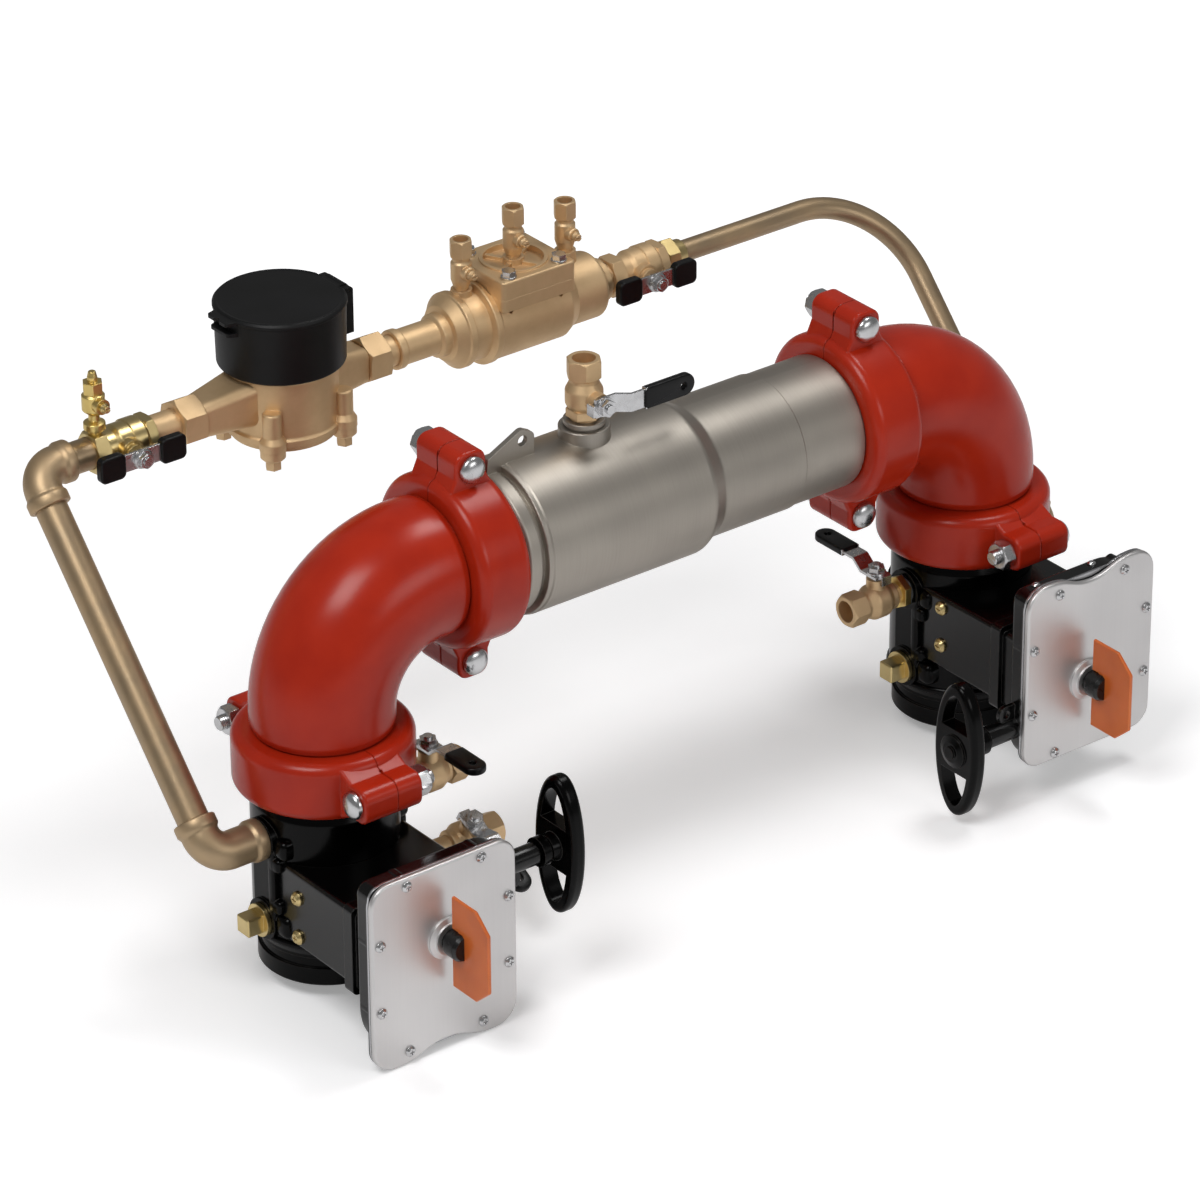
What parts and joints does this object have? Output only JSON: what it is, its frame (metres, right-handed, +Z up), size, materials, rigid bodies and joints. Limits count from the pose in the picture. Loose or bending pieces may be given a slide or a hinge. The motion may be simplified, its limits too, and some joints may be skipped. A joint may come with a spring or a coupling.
{
  "type": "double check detector assembly",
  "caption": "Grooved-end double check detector assembly for a fire main, with gear-operated butterfly valves, test cocks and a metered bypass line.",
  "frame": {"origin": "middle of the lower grooved end of the inlet valve", "axes": "+X along the check housing to the outlet, +Y towards the bypass line, +Z up; flow enters upwards at the inlet and leaves downwards at the outlet"},
  "size_m": [0.9062, 0.5008, 0.481],
  "materials": {
    "red_paint": "gloss",
    "stainless": "brushed",
    "bronze": "cast",
    "brass": "polished",
    "black_iron": "gloss black paint",
    "case_iron": "painted",
    "cover_steel": "satin",
    "bright_steel": "bright",
    "rubber": "matt",
    "black_plastic": "gloss",
    "vinyl": "dipped",
    "dial": "satin",
    "flag_plastic": "gloss",
    "inner_bronze": "machined"
  },
  "bodies": {
    "pipework": {"bonnet_bolts": "bright_steel", "bracket_screws": "brass", "bypass_check_body": "bronze", "bypass_check_bonnet": "bronze", "bypass_elbows": "bronze", "bypass_riser_pipe": "bronze", "bypass_test_cocks": "bronze", "check_housing": "stainless", "check_seats": "inner_bronze", "compression_nuts": "brass", "coupling_bolts": "bright_steel", "cover_screws": "bright_steel", "gaskets": "rubber", "gear_covers": "cover_steel", "gear_housings": "case_iron", "inlet_ball_valve": "brass", "inlet_elbow": "red_paint", "inlet_lower_coupling": "red_paint", "inlet_upper_coupling": "red_paint", "inlet_valve_body": "black_iron", "lever_cock_bodies": "bronze", "meter_body": "bronze", "meter_bolts": "bronze", "meter_bottom_plate": "bronze", "meter_unions": "bronze", "outlet_ball_valve": "bronze", "outlet_elbow": "red_paint", "outlet_lower_coupling": "red_paint", "outlet_upper_coupling": "red_paint", "outlet_valve_body": "black_iron", "pipe_plugs": "brass", "register_dial": "dial", "register_shroud": "black_plastic", "return_tube": "bronze", "valve_seats": "rubber"},
    "inlet_drive": {"inlet_handwheel": "black_iron"},
    "inlet_closure": {"inlet_stem": "bright_steel", "inlet_disc": "stainless", "inlet_flag": "flag_plastic"},
    "outlet_drive": {"outlet_handwheel": "black_iron"},
    "outlet_closure": {"outlet_stem": "bright_steel", "outlet_disc": "stainless", "outlet_flag": "flag_plastic"},
    "first_check": {"first_clapper": "inner_bronze"},
    "second_check": {"second_clapper": "inner_bronze"},
    "first_bypass_check": {"first_poppet": "inner_bronze"},
    "second_bypass_check": {"second_poppet": "inner_bronze"},
    "lid": {"register_lid": "black_plastic"},
    "inlet_tee": {"inlet_tee_handle": "bright_steel", "inlet_tee_grips": "vinyl"},
    "outlet_tee": {"outlet_tee_handle": "bright_steel", "outlet_tee_grips": "vinyl"},
    "flare_screw": {"flare_cock_screw": "brass"},
    "cock_screw_1": {"test_cock_screw_1": "bronze"},
    "cock_screw_2": {"test_cock_screw_2": "bronze"},
    "cock_screw_3": {"test_cock_screw_3": "bronze"},
    "inlet_upper_lever": {"inlet_upper_cock_lever": "bright_steel"},
    "inlet_lower_lever": {"inlet_lower_cock_lever": "bright_steel"},
    "outlet_lever": {"outlet_cock_lever": "bright_steel"},
    "housing_lever": {"housing_cock_lever": "bright_steel"}
  },
  "joints": [
    {"name": "inlet_handwheel_turn", "type": "hinge", "parent": "pipework", "child": "inlet_drive", "pos_m": [0.124, -0.145, 0.121], "axis": [-1, 0, 0], "range_deg": [0, 2700]},
    {"name": "inlet_stem_turn", "type": "hinge", "parent": "pipework", "child": "inlet_closure", "pos_m": [0, 0, 0.0895], "axis": [0, 1, 0], "range_deg": [0, 90]},
    {"name": "outlet_handwheel_turn", "type": "hinge", "parent": "pipework", "child": "outlet_drive", "pos_m": [0.542, -0.145, 0.058], "axis": [1, 0, 0], "range_deg": [0, 2700]},
    {"name": "outlet_stem_turn", "type": "hinge", "parent": "pipework", "child": "outlet_closure", "pos_m": [0.666, 0, 0.0895], "axis": [0, 1, 0], "range_deg": [0, 90]},
    {"name": "first_clapper_swing", "type": "hinge", "parent": "pipework", "child": "first_check", "pos_m": [0.2183, 0, 0.361], "axis": [0, -1, 0], "range_deg": [0, 60], "stiffness_Nm_per_rad": 0.6, "springref_deg": -20.05},
    {"name": "second_clapper_swing", "type": "hinge", "parent": "pipework", "child": "second_check", "pos_m": [0.3983, 0, 0.361], "axis": [0, -1, 0], "range_deg": [0, 60], "stiffness_Nm_per_rad": 0.6, "springref_deg": -20.05},
    {"name": "first_poppet_travel", "type": "slide", "parent": "pipework", "child": "first_bypass_check", "axis": [1, 0, 0], "range_m": [0, 0.008], "stiffness_N_per_m": 300, "springref_m": -0.012},
    {"name": "second_poppet_travel", "type": "slide", "parent": "pipework", "child": "second_bypass_check", "axis": [1, 0, 0], "range_m": [0, 0.008], "stiffness_N_per_m": 300, "springref_m": -0.012},
    {"name": "register_lid_swing", "type": "hinge", "parent": "pipework", "child": "lid", "pos_m": [0.1845, 0.229, 0.4515], "axis": [0, 1, 0], "range_deg": [0, 100]},
    {"name": "inlet_tee_turn", "type": "hinge", "parent": "pipework", "child": "inlet_tee", "pos_m": [-0.031, 0.196, 0.3745], "axis": [0, 1, 0], "range_deg": [0, 90]},
    {"name": "outlet_tee_turn", "type": "hinge", "parent": "pipework", "child": "outlet_tee", "pos_m": [0.49, 0.196, 0.3745], "axis": [0, 1, 0], "range_deg": [0, 90]},
    {"name": "flare_screw_turn", "type": "hinge", "parent": "pipework", "child": "flare_screw", "pos_m": [-0.053, 0.215, 0.4186], "axis": [0, 1, 0], "range_deg": [0, 90]},
    {"name": "cock_screw_turn_1", "type": "hinge", "parent": "pipework", "child": "cock_screw_1", "pos_m": [0.311, 0.216, 0.4265], "axis": [0, 1, 0], "range_deg": [0, 90]},
    {"name": "cock_screw_turn_2", "type": "hinge", "parent": "pipework", "child": "cock_screw_2", "pos_m": [0.365, 0.216, 0.4405], "axis": [0, 1, 0], "range_deg": [0, 90]},
    {"name": "cock_screw_turn_3", "type": "hinge", "parent": "pipework", "child": "cock_screw_3", "pos_m": [0.419, 0.216, 0.4305], "axis": [0, 1, 0], "range_deg": [0, 90]},
    {"name": "inlet_upper_lever_turn", "type": "hinge", "parent": "pipework", "child": "inlet_upper_lever", "pos_m": [0.102, 0, 0.1485], "axis": [0, 0, 1], "range_deg": [0, 90]},
    {"name": "inlet_lower_lever_turn", "type": "hinge", "parent": "pipework", "child": "inlet_lower_lever", "pos_m": [0.136, -0.011, 0.07155], "axis": [0, -0.5, 0.866], "range_deg": [0, 90]},
    {"name": "outlet_lever_turn", "type": "hinge", "parent": "pipework", "child": "outlet_lever", "pos_m": [0.571, 0, 0.1485], "axis": [0, 0, 1], "range_deg": [0, 90]},
    {"name": "housing_lever_turn", "type": "hinge", "parent": "pipework", "child": "housing_lever", "pos_m": [0.262, -0.022, 0.4165], "axis": [0, -1, 0], "range_deg": [0, 90]}
  ],
  "couplings": [
    {"joint": "inlet_stem_turn", "follows": "inlet_handwheel_turn", "ratio": 0.033333},
    {"joint": "outlet_stem_turn", "follows": "outlet_handwheel_turn", "ratio": 0.033333}
  ]
}
